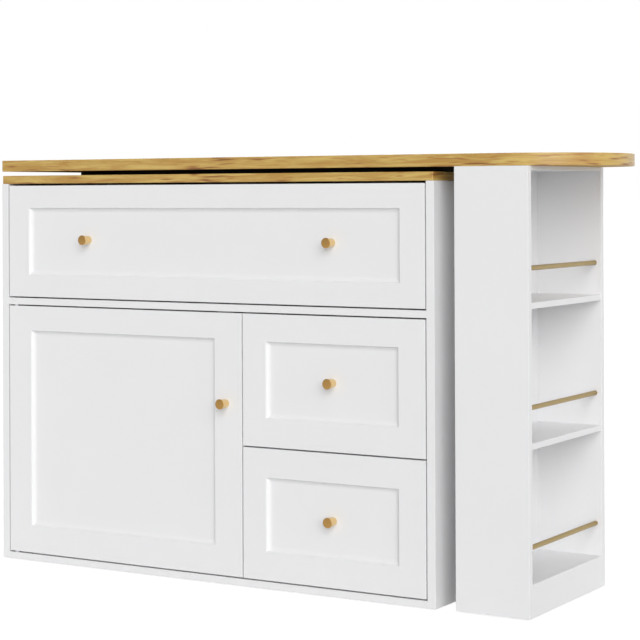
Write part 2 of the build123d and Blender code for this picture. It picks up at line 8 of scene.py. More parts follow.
import bpy
import numpy as np
from bpy.props import FloatProperty, FloatVectorProperty, PointerProperty
from mathutils import Matrix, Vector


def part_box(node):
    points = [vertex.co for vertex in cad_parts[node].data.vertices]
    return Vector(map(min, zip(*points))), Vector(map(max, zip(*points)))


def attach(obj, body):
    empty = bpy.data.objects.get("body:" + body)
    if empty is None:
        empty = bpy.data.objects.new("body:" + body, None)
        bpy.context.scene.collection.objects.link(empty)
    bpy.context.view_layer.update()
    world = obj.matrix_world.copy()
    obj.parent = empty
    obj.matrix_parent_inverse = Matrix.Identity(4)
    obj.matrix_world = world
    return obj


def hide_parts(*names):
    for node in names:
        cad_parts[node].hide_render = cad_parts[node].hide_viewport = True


bl_info = {
    "name": "Kitchen island with a swivel top",
    "version": (1, 0, 0),
    "blender": (4, 5, 0),
    "location": "View3D > Sidebar > Island",
    "description": "Makes the island's fronts, tops and knobs and gives every piece its finish",
    "category": "Object",
}

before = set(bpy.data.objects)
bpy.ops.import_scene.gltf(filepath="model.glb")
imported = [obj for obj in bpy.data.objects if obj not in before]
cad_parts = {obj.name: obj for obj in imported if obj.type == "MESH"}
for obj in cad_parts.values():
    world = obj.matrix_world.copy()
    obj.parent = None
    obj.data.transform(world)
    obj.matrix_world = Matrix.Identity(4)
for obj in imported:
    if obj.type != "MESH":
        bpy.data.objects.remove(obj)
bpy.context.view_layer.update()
IMAGE_WIDTH = 640  # pixels of the square picture
SENSOR_WIDTH = 36.0  # millimetres, a full frame
MM = 0.001
SAME_POINT = 0.001 * MM  # points closer than this are one
WHITE = (1.0, 1.0, 1.0, 1.0)
COVE_STEPS = 14  # rings across the hollow slope round a field
CROWN_STEPS = 6  # rings from the rim of a knob's face to its middle
KNOB_CREASE = 35.0  # degrees, edges of a knob that are sharper stay sharp
BAND_CREASE = 6.0  # degrees, more than a step of the round end and less than one of the easing
MARK_STRETCH = 20  # how many times longer than wide a tool's marks in brass are
ALONG_Y = (1, 1 / MARK_STRETCH, 1)
ALONG_X = (1 / MARK_STRETCH, 1, 1)

# Sockets of a Mix node that blends two colours
MIX_SHARE = 0
MIX_FIRST = 6
MIX_SECOND = 7
MIX_RESULT = 2

DRAWERS = ("wide_drawer", "upper_drawer", "lower_drawer")
FRONT_NODES = {"door_panel": "door", **{f"{drawer}_front": drawer for drawer in DRAWERS}}
KNOB_NODES = {
    "door_knob": "door",
    "wide_drawer_knobs": "wide_drawer",
    "upper_drawer_knob": "upper_drawer",
    "lower_drawer_knob": "lower_drawer",
}


def linear(hex_colour):
    """Linear RGBA of an sRGB hex value: c / 12.92 near black, else ((c + 0.055) / 1.055) ** 2.4."""
    channels = np.array([int(hex_colour[place : place + 2], 16) for place in (1, 3, 5)]) / 255
    curve = np.where(channels <= 0.04045, channels / 12.92, ((channels + 0.055) / 1.055) ** 2.4)
    return (*curve.tolist(), 1.0)


def colour_property(name, description, hex_colour):
    """A colour that shows in the panel, written as an sRGB hex value."""
    return FloatVectorProperty(
        name=name,
        description=description,
        subtype="COLOR",
        size=4,
        min=0.0,
        max=1.0,
        default=linear(hex_colour),
    )


def length_property(name, description, millimetres):
    """A length that shows in the panel, written in millimetres."""
    return FloatProperty(
        name=name, description=description, unit="LENGTH", min=0.0, precision=5, default=millimetres * MM
    )


def angle_property(name, description, degrees):
    """An angle that shows in the panel, written in degrees."""
    return FloatProperty(name=name, description=description, subtype="ANGLE", default=math.radians(degrees))


def pixel_property(name, description, pixels):
    """A distance in the picture that shows in the panel, written in pixels."""
    return FloatProperty(name=name, description=description, subtype="PIXEL", min=0.0, default=pixels)


def share_property(name, description, share):
    """A share from 0 to 1 that shows in the panel."""
    return FloatProperty(
        name=name, description=description, subtype="FACTOR", min=0.0, max=1.0, default=share
    )


def strength_property(name, description, strength):
    """The strength of a light that shows in the panel."""
    return FloatProperty(name=name, description=description, min=0.0, default=strength)


class IslandSizes(bpy.types.PropertyGroup):
    """Sizes of the pieces made here."""

    recess_depth: length_property("Recess depth", "How far a front's field lies behind its frame", 8.0)
    cove_width: length_property("Cove width", "Width of the hollow slope between frame and field", 10.5)
    door_left_stile: length_property("Door left stile", "Width of the door's hinged stile", 62.0)
    door_right_stile: length_property("Door right stile", "Width of the stile with the door's knob", 68.0)
    door_low_rail: length_property("Door low rail", "Width of the door's bottom rail", 62.0)
    door_high_rail: length_property("Door high rail", "Width of the door's top rail", 54.5)
    drawer_left_stile: length_property("Drawer left stile", "Left stile of the small drawers", 57.0)
    drawer_right_stile: length_property("Drawer right stile", "Right stile of the small drawers", 60.5)
    drawer_rail: length_property("Drawer rail", "Width of the small drawers' rails", 60.0)
    upper_high_rail: length_property("Upper high rail", "Width of the upper drawer's top rail", 57.0)
    wide_stile: length_property("Wide stile", "Width of the wide drawer's stiles", 56.5)
    wide_rail: length_property("Wide rail", "Width of the wide drawer's rails", 50.0)
    front_ease: length_property("Front easing", "Rounding along a front's outer edges", 1.0)
    rim_ease: length_property("Rim easing", "Rounding along the rim of the recess", 0.8)
    band_thickness: length_property("Edge band", "Thickness of the strip round a top's edge", 1.6)
    top_ease: length_property("Top easing", "Rounding along the edges of the tops", 1.5)
    top_corner: length_property("Top corner", "Rounding of the tops' square corners, seen from above", 2.0)
    knob_base: length_property("Knob base", "Radius of a knob where it meets the front", 8.8)
    knob_ease: length_property("Knob easing", "Rounding between a knob's side and its face", 1.2)
    knob_dome: length_property("Knob dome", "Height of the faint crown on a knob's face", 0.4)


class IslandColours(bpy.types.PropertyGroup):
    """Colours of the finishes."""

    lacquer: colour_property("Lacquer", "Satin white of the boards and fronts", "#EAEAEB")
    melamine: colour_property("Melamine", "White of the drawer boxes", "#E4E4E2")
    oak_pale: colour_property("Oak, pale", "Early wood", "#CDAF60")
    oak_golden: colour_property("Oak, golden", "Main tone of the wood", "#B2883C")
    oak_rust: colour_property("Oak, rust", "Red-brown edge of the flecks", "#A26A26")
    oak_dark: colour_property("Oak, dark", "Heart of the flecks", "#744413")
    # The knobs are one brass: the side colour is paler, a painted highlight, and the face colour darker, a
    # painted shade
    knob_side_painted_highlight: colour_property("Knob side", "Polished brass of the knobs' sides", "#E8CA91")
    knob_face_painted_shade: colour_property("Knob face", "Brushed brass of the knobs' faces", "#B48D52")
    rod_brass: colour_property("Rod brass", "Drawn brass of the rods", "#A58F5D")
    zinc: colour_property("Zinc", "Zinc plated steel", "#C2C6CA")
    black_coat: colour_property("Black coat", "Black powder coat of bearing and bars", "#0B0B0C")
    nylon: colour_property("Nylon", "White glides and catch", "#E2E2DE")
    rubber: colour_property("Rubber", "Grey caster wheels", "#55575A")
    floor: colour_property("Floor", "Pale studio floor", "#DCDCDC")


class IslandStage(bpy.types.PropertyGroup):
    """Camera and studio light."""

    camera_place: FloatVectorProperty(
        name="Camera place",
        description="Where the camera stands",
        subtype="TRANSLATION",
        unit="LENGTH",
        precision=5,
        default=(2.12444, -3.51591, 0.82356),
    )
    camera_turn: angle_property("Camera turn", "Turn of the view to the left of straight ahead", 30.923)
    camera_tilt: angle_property("Camera tilt", "Tilt of the view above level", 0.133)
    camera_roll: angle_property("Camera roll", "Roll about the line of sight", -0.238)
    focal_pixels: pixel_property("Focal length", "Focal length in pixels of the picture", 1911.03)
    horizon_row: pixel_property("Horizon row", "Row of pixels that the line of sight meets", 188.74)
    floor_reach: length_property("Floor reach", "How far the floor goes each way", 200_000)
    floor_glow: share_property("Floor glow", "Share of white that no shadow dims", 0.93)
    floor_shade: share_property("Floor shade", "Share of the floor's own light where it is seen", 0.3)
    world_light: strength_property("World light", "Strength of the even light from all round", 0.36)
    room_light: strength_property("Room light", "How bright the room in front shows in reflections", 0.55)
    main_turn: angle_property("Main turn", "Main lamp, right of the front", 37.0)
    main_rise: angle_property("Main rise", "Main lamp, above level", 24.0)
    main_spread: angle_property("Main spread", "How wide the main lamp looks", 50.0)
    main_light: strength_property("Main light", "Main lamp, in watts on a square metre", 2.09)
    back_turn: angle_property("Back turn", "Back lamp, right of the front", 205.0)
    back_rise: angle_property("Back rise", "Back lamp, above level", 25.0)
    back_spread: angle_property("Back spread", "How wide the back lamp looks", 50.0)
    back_light: strength_property("Back light", "Back lamp, in watts on a square metre", 1.3)
    side_turn: angle_property("Side turn", "Side lamp, right of the front", 72.0)
    side_rise: angle_property("Side rise", "Side lamp, above level", 6.0)
    side_spread: angle_property("Side spread", "How wide the side lamp looks", 40.0)
    side_light: strength_property("Side light", "Side lamp, in watts on a square metre", 0.42)


def scale_for(millimetres):
    """The scale of a texture whose features are that many millimetres across."""
    return 1 / (millimetres * MM)


def add_node(tree, kind, inputs=None, **settings):
    """Add a node with its settings; an input takes a value, or a socket that is linked to it."""
    node = tree.nodes.new(kind)
    for name, value in settings.items():
        setattr(node, name, value)
    for name, value in (inputs or {}).items():
        if isinstance(value, bpy.types.NodeSocket):
            tree.links.new(value, node.inputs[name])
        else:
            node.inputs[name].default_value = value
    return node


def cleared_tree(owner):
    """The node tree of a new material or world, with nothing in it."""
    owner.use_nodes = True
    owner.node_tree.nodes.clear()
    return owner.node_tree


def new_material(name):
    """A material with one Principled shader."""
    material = bpy.data.materials.new(name)
    tree = cleared_tree(material)
    shader = add_node(tree, "ShaderNodeBsdfPrincipled")
    add_node(tree, "ShaderNodeOutputMaterial", {"Surface": shader.outputs["BSDF"]})
    return material, tree, shader


def shaded(colour, share):
    """A colour at a share of its brightness."""
    return (*(share * channel for channel in colour[:3]), 1.0)


def satin_lacquer(name, colour):
    """Polyurethane lacquer, sprayed on fibreboard and left satin.
    It gives a soft, wide sheen, a very faint orange peel of about 2 mm and hardly any change of tone."""
    haze_mm = 160
    peel_mm = 2.2
    peel_depth = 0.1 * MM
    darkest = 0.975
    material, tree, shader = new_material(name)
    place = add_node(tree, "ShaderNodeTexCoord").outputs["Object"]
    haze = add_node(
        tree, "ShaderNodeTexNoise", {"Vector": place, "Scale": scale_for(haze_mm), "Detail": 2.0}
    ).outputs["Fac"]
    peel = add_node(
        tree, "ShaderNodeTexNoise", {"Vector": place, "Scale": scale_for(peel_mm), "Detail": 1.0}
    ).outputs["Fac"]
    tone = add_node(
        tree,
        "ShaderNodeMix",
        {MIX_SHARE: haze, MIX_FIRST: shaded(colour, darkest), MIX_SECOND: colour},
        data_type="RGBA",
    )
    gloss = add_node(tree, "ShaderNodeMapRange", {"Value": haze, "To Min": 0.4, "To Max": 0.5})
    bump = add_node(tree, "ShaderNodeBump", {"Height": peel, "Strength": 0.05, "Distance": peel_depth})
    tree.links.new(tone.outputs[MIX_RESULT], shader.inputs["Base Color"])
    tree.links.new(gloss.outputs["Result"], shader.inputs["Roughness"])
    tree.links.new(bump.outputs["Normal"], shader.inputs["Normal"])
    return material


def melamine(name, colour):
    """Melamine paper pressed on chipboard with a fine pearl texture.
    It gives a matt white with a shallow grain of about 1 mm."""
    haze_mm = 90
    pearl_mm = 1.2
    pearl_depth = 0.1 * MM
    darkest = 0.96
    material, tree, shader = new_material(name)
    place = add_node(tree, "ShaderNodeTexCoord").outputs["Object"]
    pearl = add_node(
        tree, "ShaderNodeTexVoronoi", {"Vector": place, "Scale": scale_for(pearl_mm)}
    ).outputs["Distance"]
    haze = add_node(
        tree, "ShaderNodeTexNoise", {"Vector": place, "Scale": scale_for(haze_mm), "Detail": 2.0}
    ).outputs["Fac"]
    tone = add_node(
        tree,
        "ShaderNodeMix",
        {MIX_SHARE: haze, MIX_FIRST: shaded(colour, darkest), MIX_SECOND: colour},
        data_type="RGBA",
    )
    bump = add_node(tree, "ShaderNodeBump", {"Height": pearl, "Strength": 0.2, "Distance": pearl_depth})
    shader.inputs["Roughness"].default_value = 0.55
    tree.links.new(tone.outputs[MIX_RESULT], shader.inputs["Base Color"])
    tree.links.new(bump.outputs["Normal"], shader.inputs["Normal"])
    return material


def oak(name, coordinate, figure_mm, roughness, coat, colours):
    """Golden oak decor under a seal, with its grain along X, or along a band's length.
    It gives long pale and golden figure of a width in millimetres, thin streaks of 2.4 mm, and patches of
    short flecks of 6 mm, red-brown at their edge and dark at heart. A seal with no coat is matt, and one
    with a coat lays a satin sheen on the round end."""
    streak_mm = 2.4
    fleck_mm = 6
    patch_mm = 60
    patch_swing = 0.16
    pore_depth = 0.2 * MM
    patch_stretch = 4
    grain_stretch = 12
    streak_stretch = 30
    material, tree, shader = new_material(name)
    place = add_node(tree, "ShaderNodeTexCoord").outputs[coordinate]
    long_patch, long_grain, long_streak = (
        add_node(
            tree, "ShaderNodeMapping", {"Vector": place, "Scale": (1 / stretch, 1, 1)}
        ).outputs["Vector"]
        for stretch in (patch_stretch, grain_stretch, streak_stretch)
    )
    figure = add_node(
        tree,
        "ShaderNodeTexNoise",
        {
            "Vector": long_grain,
            "Scale": scale_for(figure_mm),
            "Detail": 4.0,
            "Roughness": 0.6,
            "Distortion": 0.8,
        },
    ).outputs["Fac"]
    streak = add_node(
        tree, "ShaderNodeTexNoise", {"Vector": long_streak, "Scale": scale_for(streak_mm), "Detail": 3.0}
    ).outputs["Fac"]
    dashes = add_node(
        tree,
        "ShaderNodeTexNoise",
        {"Vector": long_grain, "Scale": scale_for(fleck_mm), "Detail": 1.0, "Distortion": 0.3},
    ).outputs["Fac"]
    patch = add_node(
        tree, "ShaderNodeTexNoise", {"Vector": long_patch, "Scale": scale_for(patch_mm), "Detail": 1.0}
    ).outputs["Fac"]
    density = add_node(
        tree,
        "ShaderNodeMapRange",
        {"Value": patch, "To Min": -patch_swing, "To Max": patch_swing},
        clamp=False,
    ).outputs["Result"]
    fleck = add_node(tree, "ShaderNodeMath", {0: dashes, 1: density}, operation="ADD").outputs[0]
    # Each layer has a noise, the values where it starts and is full, the most it covers, and a colour
    layers = (
        (figure, 0.4, 0.62, 1.0, colours.oak_pale),
        (streak, 0.45, 0.75, 0.4, colours.oak_golden),
        (fleck, 0.57, 0.68, 0.75, colours.oak_rust),
        (fleck, 0.65, 0.74, 0.75, colours.oak_dark),
    )
    wood = colours.oak_golden
    for noise, start, full, most, colour in layers:
        cover = add_node(
            tree,
            "ShaderNodeMapRange",
            {"Value": noise, "From Min": start, "From Max": full, "To Max": most},
        ).outputs["Result"]
        layer = add_node(
            tree,
            "ShaderNodeMix",
            {MIX_SHARE: cover, MIX_FIRST: wood, MIX_SECOND: colour},
            data_type="RGBA",
        )
        wood = layer.outputs[MIX_RESULT]
    bump = add_node(tree, "ShaderNodeBump", {"Height": streak, "Strength": 0.15, "Distance": pore_depth})
    shader.inputs["Roughness"].default_value = roughness
    shader.inputs["Coat Weight"].default_value = coat
    shader.inputs["Coat Roughness"].default_value = 0.3
    tree.links.new(wood, shader.inputs["Base Color"])
    tree.links.new(bump.outputs["Normal"], shader.inputs["Normal"])
    return material


def brass(name, colour, grain, gloss):
    """Brass with fine marks of the tool along the way that the grain is stretched.
    It gives a golden reflection between the two roughnesses of the gloss, broken by marks that are drawn
    coarse enough to show."""
    marks_mm = 0.6
    smoothest, roughest = gloss
    material, tree, shader = new_material(name)
    place = add_node(tree, "ShaderNodeTexCoord").outputs["Object"]
    drawn = add_node(tree, "ShaderNodeMapping", {"Vector": place, "Scale": grain}).outputs["Vector"]
    marks = add_node(
        tree, "ShaderNodeTexNoise", {"Vector": drawn, "Scale": scale_for(marks_mm), "Detail": 2.0}
    ).outputs["Fac"]
    roughness = add_node(
        tree, "ShaderNodeMapRange", {"Value": marks, "To Min": smoothest, "To Max": roughest}
    )
    shader.inputs["Base Color"].default_value = colour
    shader.inputs["Metallic"].default_value = 1.0
    tree.links.new(roughness.outputs["Result"], shader.inputs["Roughness"])
    return material


def zinc_steel(name, colour):
    """Cold rolled steel with a bright zinc plating.
    It gives a cool grey gleam with a cloudy change of gloss over a few millimetres."""
    cloud_mm = 7
    darkest = 0.85
    material, tree, shader = new_material(name)
    place = add_node(tree, "ShaderNodeTexCoord").outputs["Object"]
    cloud = add_node(
        tree, "ShaderNodeTexNoise", {"Vector": place, "Scale": scale_for(cloud_mm), "Detail": 3.0}
    ).outputs["Fac"]
    gloss = add_node(tree, "ShaderNodeMapRange", {"Value": cloud, "To Min": 0.25, "To Max": 0.45})
    tone = add_node(
        tree,
        "ShaderNodeMix",
        {MIX_SHARE: cloud, MIX_FIRST: shaded(colour, darkest), MIX_SECOND: colour},
        data_type="RGBA",
    )
    shader.inputs["Metallic"].default_value = 1.0
    tree.links.new(tone.outputs[MIX_RESULT], shader.inputs["Base Color"])
    tree.links.new(gloss.outputs["Result"], shader.inputs["Roughness"])
    return material


def powder_coat(name, colour):
    """Black polyester powder, baked on steel.
    It gives a dull black with a pebbled skin of about 0.8 mm and hardly any highlight."""
    pebble_mm = 0.8
    pebble_depth = 0.1 * MM
    material, tree, shader = new_material(name)
    place = add_node(tree, "ShaderNodeTexCoord").outputs["Object"]
    pebbles = add_node(
        tree, "ShaderNodeTexVoronoi", {"Vector": place, "Scale": scale_for(pebble_mm)}
    ).outputs["Distance"]
    bump = add_node(tree, "ShaderNodeBump", {"Height": pebbles, "Strength": 0.2, "Distance": pebble_depth})
    shader.inputs["Base Color"].default_value = colour
    shader.inputs["Roughness"].default_value = 0.8
    shader.inputs["Specular IOR Level"].default_value = 0.2
    tree.links.new(bump.outputs["Normal"], shader.inputs["Normal"])
    return material


def nylon(name, colour):
    """White nylon, injection moulded.
    It gives a milky white with a little light under its skin and a faint frost of about 1.5 mm."""
    frost_mm = 1.5
    light_depth = 1.0 * MM
    material, tree, shader = new_material(name)
    place = add_node(tree, "ShaderNodeTexCoord").outputs["Object"]
    frost = add_node(
        tree, "ShaderNodeTexNoise", {"Vector": place, "Scale": scale_for(frost_mm), "Detail": 2.0}
    ).outputs["Fac"]
    gloss = add_node(tree, "ShaderNodeMapRange", {"Value": frost, "To Min": 0.4, "To Max": 0.55})
    shader.inputs["Base Color"].default_value = colour
    shader.inputs["Subsurface Weight"].default_value = 0.1
    shader.inputs["Subsurface Scale"].default_value = light_depth
    tree.links.new(gloss.outputs["Result"], shader.inputs["Roughness"])
    return material


def rubber(name, colour):
    """Grey thermoplastic rubber of the casters' tyres.
    It gives a matt grey with a dusty change of tone over about 4 mm and no highlight."""
    dust_mm = 4
    darkest = 0.8
    material, tree, shader = new_material(name)
    place = add_node(tree, "ShaderNodeTexCoord").outputs["Object"]
    dust = add_node(
        tree, "ShaderNodeTexNoise", {"Vector": place, "Scale": scale_for(dust_mm), "Detail": 3.0}
    ).outputs["Fac"]
    tone = add_node(
        tree,
        "ShaderNodeMix",
        {MIX_SHARE: dust, MIX_FIRST: shaded(colour, darkest), MIX_SECOND: colour},
        data_type="RGBA",
    )
    shader.inputs["Roughness"].default_value = 0.75
    tree.links.new(tone.outputs[MIX_RESULT], shader.inputs["Base Color"])
    return material


def finish_nodes(material, *names):
    """Give solids from the frame their finish."""
    for name in names:
        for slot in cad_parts[name].material_slots:
            slot.material = material


def eased(points, cut, steps=5):
    """A line of points with its inner corners rounded: each corner P becomes the curve
    (1 - t)^2 A + 2 t (1 - t) P + t^2 B, where A and B lie the cut length before and after it."""
    points = np.asarray(points, float)
    cut = np.broadcast_to(np.asarray(cut, float), len(points) - 2)[:, None]
    before = points[:-2] - points[1:-1]
    after = points[2:] - points[1:-1]
    start = points[1:-1] + cut * before / np.linalg.norm(before, axis=1, keepdims=True)
    end = points[1:-1] + cut * after / np.linalg.norm(after, axis=1, keepdims=True)
    t = np.linspace(0, 1, steps)[None, :, None]
    curve = (1 - t) ** 2 * start[:, None] + 2 * t * (1 - t) * points[1:-1, None] + t**2 * end[:, None]
    return np.vstack([points[:1], curve.reshape(-1, 2), points[-1:]])


def grid_quads(rows, columns, wrap_rows=False):
    """Corners of the quads of a grid that is closed along its columns, and along its rows if asked."""
    row, column = np.meshgrid(np.arange(rows - (not wrap_rows)), np.arange(columns), indexing="ij")
    next_row = (row + 1) % rows
    next_column = (column + 1) % columns
    corners = [
        row * columns + column,
        row * columns + next_column,
        next_row * columns + next_column,
        next_row * columns + column,
    ]
    return np.stack(corners, -1).reshape(-1, 4)


def make_piece(name, vertices, faces, body, slot, material, replaced=()):
    """A mesh object from vertices and faces that rides on a body and has a finish."""
    mesh = bpy.data.meshes.new(name)
    mesh.from_pydata(vertices, [], faces)
    mesh.materials.append(material)
    mesh.validate()
    piece = bpy.data.objects.new(name, mesh)
    bpy.context.scene.collection.objects.link(piece)
    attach(piece, body)
    if replaced:
        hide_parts(*replaced)
    return piece


def smooth_round(piece, crease):
    """Smooth shading that keeps edges sharper than the crease in degrees."""
    piece.data.shade_smooth()
    piece.data.set_sharp_from_angle(angle=math.radians(crease))


def framed_front(low, high, stiles, rails, sizes):
    """Vertices and faces of a front with a field sunk inside its frame.
    A profile of insets a and depths d runs round the board, and ring i is a rectangle a_i inside it at
    depth d_i. The slope is a hollow quarter of an ellipse: a = w (1 - cos t), d = depth sin t.
    stiles are the frame's widths at the left and the right, rails those at the bottom and the top."""
    thickness = high.y - low.y
    middle = thickness / 2
    outside = eased([(middle, thickness), (0, thickness), (0, 0), (middle, 0)], sizes.front_ease)[1:-1]
    rim = eased([(-middle, 0), (0, 0), (0, middle)], sizes.rim_ease)[1:-2]
    t = np.linspace(math.asin(sizes.rim_ease / sizes.recess_depth), math.pi / 2, COVE_STEPS)
    cove = np.column_stack([sizes.cove_width * (1 - np.cos(t)), sizes.recess_depth * np.sin(t)])
    inside = np.vstack([rim, cove])
    insets = [np.concatenate([outside[:, 0], width + inside[:, 0]]) for width in (*stiles, *rails)]
    depth = low.y + np.concatenate([outside[:, 1], inside[:, 1]])
    left, right = low.x + insets[0], high.x - insets[1]
    bottom, top = low.z + insets[2], high.z - insets[3]
    x = np.stack([left, right, right, left], 1)
    z = np.stack([bottom, bottom, top, top], 1)
    rings, corners = x.shape
    y = np.repeat(depth[:, None], corners, axis=1)
    quads = grid_quads(rings, corners)
    field = np.arange(corners) + corners * (rings - 1)
    back = np.arange(corners)[::-1]
    faces = [*quads.tolist(), field.tolist(), back.tolist()]
    return np.stack([x, y, z], -1).reshape(-1, 3), faces


class ISLAND_OT_fronts(bpy.types.Operator):
    """Make the framed door and drawer fronts, with eased rims"""

    bl_idname = "island.fronts"
    bl_label = "Framed fronts"

    def execute(self, context):
        sizes = context.scene.island_sizes
        material = satin_lacquer("satin_lacquer_fronts", context.scene.island_colours.lacquer)
        door_stiles = (sizes.door_left_stile, sizes.door_right_stile)
        drawer_stiles = (sizes.drawer_left_stile, sizes.drawer_right_stile)
        frames = {
            "door_panel": (door_stiles, (sizes.door_low_rail, sizes.door_high_rail)),
            "wide_drawer_front": ((sizes.wide_stile, sizes.wide_stile), (sizes.wide_rail, sizes.wide_rail)),
            "upper_drawer_front": (drawer_stiles, (sizes.drawer_rail, sizes.upper_high_rail)),
            "lower_drawer_front": (drawer_stiles, (sizes.drawer_rail, sizes.drawer_rail)),
        }
        for node, body in FRONT_NODES.items():
            vertices, faces = framed_front(*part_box(node), *frames[node], sizes)
            make_piece(f"{node}_framed", vertices, faces, body, "painted_board", material, [node])
        return {"FINISHED"}


def rounded_outline(low, high, radii, inset, steps=24):
    """Outline of a board seen from above, from its front left corner round to the right.
    Corner k is a quarter circle: c_k + (r_k - inset) (cos a, sin a), with its centre c_k one radius in.
    Where two quarters meet in a half circle, the point that they share is kept once."""
    starts = np.radians([180.0, 270.0, 0.0, 90.0])
    angles = starts[:, None] + np.linspace(0, math.pi / 2, steps)
    radii = np.asarray(radii, float)
    centre_x = np.array([low.x, high.x, high.x, low.x]) + radii * (1, -1, -1, 1)
    centre_y = np.array([low.y, low.y, high.y, high.y]) + radii * (1, 1, -1, -1)
    reach = (radii - inset)[:, None]
    x = centre_x[:, None] + reach * np.cos(angles)
    y = centre_y[:, None] + reach * np.sin(angles)
    points = np.stack([x.ravel(), y.ravel()], 1)
    apart = np.linalg.norm(points - np.roll(points, 1, axis=0), axis=1) > SAME_POINT
    return points[apart]


def board_core(low, high, radii, inset):
    """Vertices and faces of a flat board: its outline, less the inset, at its lower and upper face."""
    outline = rounded_outline(low, high, radii, inset)
    count = len(outline)
    rings = [np.column_stack([outline, np.full(count, height)]) for height in (low.z, high.z)]
    under = np.arange(count)[::-1]
    upper = np.arange(count) + count
    faces = [*grid_quads(2, count).tolist(), under.tolist(), upper.tolist()]
    return np.vstack(rings), faces


def edge_band(low, high, radii, sizes):
    """Vertices, faces and grain coordinates of a strip round a board's edge.
    Its section, eased outside and flat inside, is carried round the outline: u runs along it, v up it."""
    thickness = sizes.band_thickness
    section = eased([(thickness, low.z), (0, low.z), (0, high.z), (thickness, high.z)], sizes.top_ease)
    outlines = np.stack([rounded_outline(low, high, radii, inset) for inset in section[:, 0]])
    heights = np.broadcast_to(section[:, 1, None, None], (*outlines.shape[:2], 1))
    points = np.concatenate([outlines, heights], axis=2)
    rows, columns = points.shape[:2]
    quads = grid_quads(rows, columns, wrap_rows=True)
    outer = rounded_outline(low, high, radii, 0.0)
    run = np.linalg.norm(np.roll(outer, -1, axis=0) - outer, axis=1)
    along = np.concatenate([[0.0], np.cumsum(run)])
    rise = np.linalg.norm(np.roll(section, -1, axis=0) - section, axis=1)
    up = low.z + np.concatenate([[0.0], np.cumsum(rise)])
    row, column = np.meshgrid(np.arange(rows), np.arange(columns), indexing="ij")
    u = np.stack([along[column], along[column + 1], along[column + 1], along[column]], -1)
    v = np.stack([up[row], up[row], up[row + 1], up[row + 1]], -1)
    return points.reshape(-1, 3), quads.tolist(), np.stack([u, v], -1).reshape(-1)


class ISLAND_OT_tops(bpy.types.Operator):
    """Make the two oak tops: boards with a strip of oak round their edges"""

    bl_idname = "island.tops"
    bl_label = "Oak tops"

    def execute(self, context):
        sizes = context.scene.island_sizes
        colours = context.scene.island_colours
        face_oak = oak("oak_board", "Object", figure_mm=30, roughness=0.7, coat=0.0, colours=colours)
        band_oak = oak("oak_edge_band", "UV", figure_mm=11, roughness=0.4, coat=0.45, colours=colours)
        for node, body in (("upper_top", "swivel_top"), ("lower_top", "cabinet")):
            low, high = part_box(node)
            corner = sizes.top_corner
            end = (high.y - low.y) / 2 if node == "upper_top" else corner
            radii = (corner, end, end, corner)
            core = board_core(low, high, radii, sizes.band_thickness)
            make_piece(f"{node}_board", *core, body, "oak", face_oak, [node])
            vertices, faces, grain = edge_band(low, high, radii, sizes)
            band = make_piece(f"{node}_edge_band", vertices, faces, body, "oak", band_oak)
            band.data.uv_layers.new(name="Grain").data.foreach_set("uv", grain)
            smooth_round(band, BAND_CREASE)
        return {"FINISHED"}


def turned(profile, places, axis, turns=48):
    """Vertices and faces of pieces turned on a lathe, one at each place.
    Point (r, h) of the profile at angle a lies at place + h axis + r (cos a side + sin a up)."""
    axis = np.asarray(axis, float)
    side = np.cross((0.0, 0.0, 1.0), axis)
    side /= np.linalg.norm(side)
    up = np.cross(axis, side)
    angle = np.linspace(0, 2 * math.pi, turns, endpoint=False)
    circle = np.cos(angle)[:, None] * side + np.sin(angle)[:, None] * up
    radius, height = np.asarray(profile, float).T
    shape = radius[:, None, None] * circle + height[:, None, None] * axis
    rings = len(radius)
    count = rings * turns
    points = np.asarray(places, float)[:, None, None, :] + shape
    starts = np.arange(len(places)) * count
    quads = (grid_quads(rings, turns) + starts[:, None, None]).reshape(-1, 4)
    first = np.arange(turns)[::-1] + starts[:, None]
    last = np.arange(turns) + count - turns + starts[:, None]
    return points.reshape(-1, 3), [*quads.tolist(), *first.tolist(), *last.tolist()]


def knob_profile(face, length, sizes):
    """Points (r, h) from the middle of a knob's base to the middle of its face.
    The side tapers from the base to the face, with eased corners, and the face has a faint crown,
    h = length - dome (r / face)^2. Both ends stop just short of the axis."""
    base_start = 0.2 * MM
    base_ease = 0.3 * MM
    crown_end = 0.3 * MM
    corners = [(base_start, 0), (sizes.knob_base, 0), (face, length - sizes.knob_dome), (0, length)]
    side = eased(corners, (base_ease, sizes.knob_ease))[:-1]
    crown = np.linspace(side[-1, 0], crown_end, CROWN_STEPS)[1:]
    rise = length - sizes.knob_dome * (crown / face) ** 2
    return np.vstack([side, np.column_stack([crown, rise])])


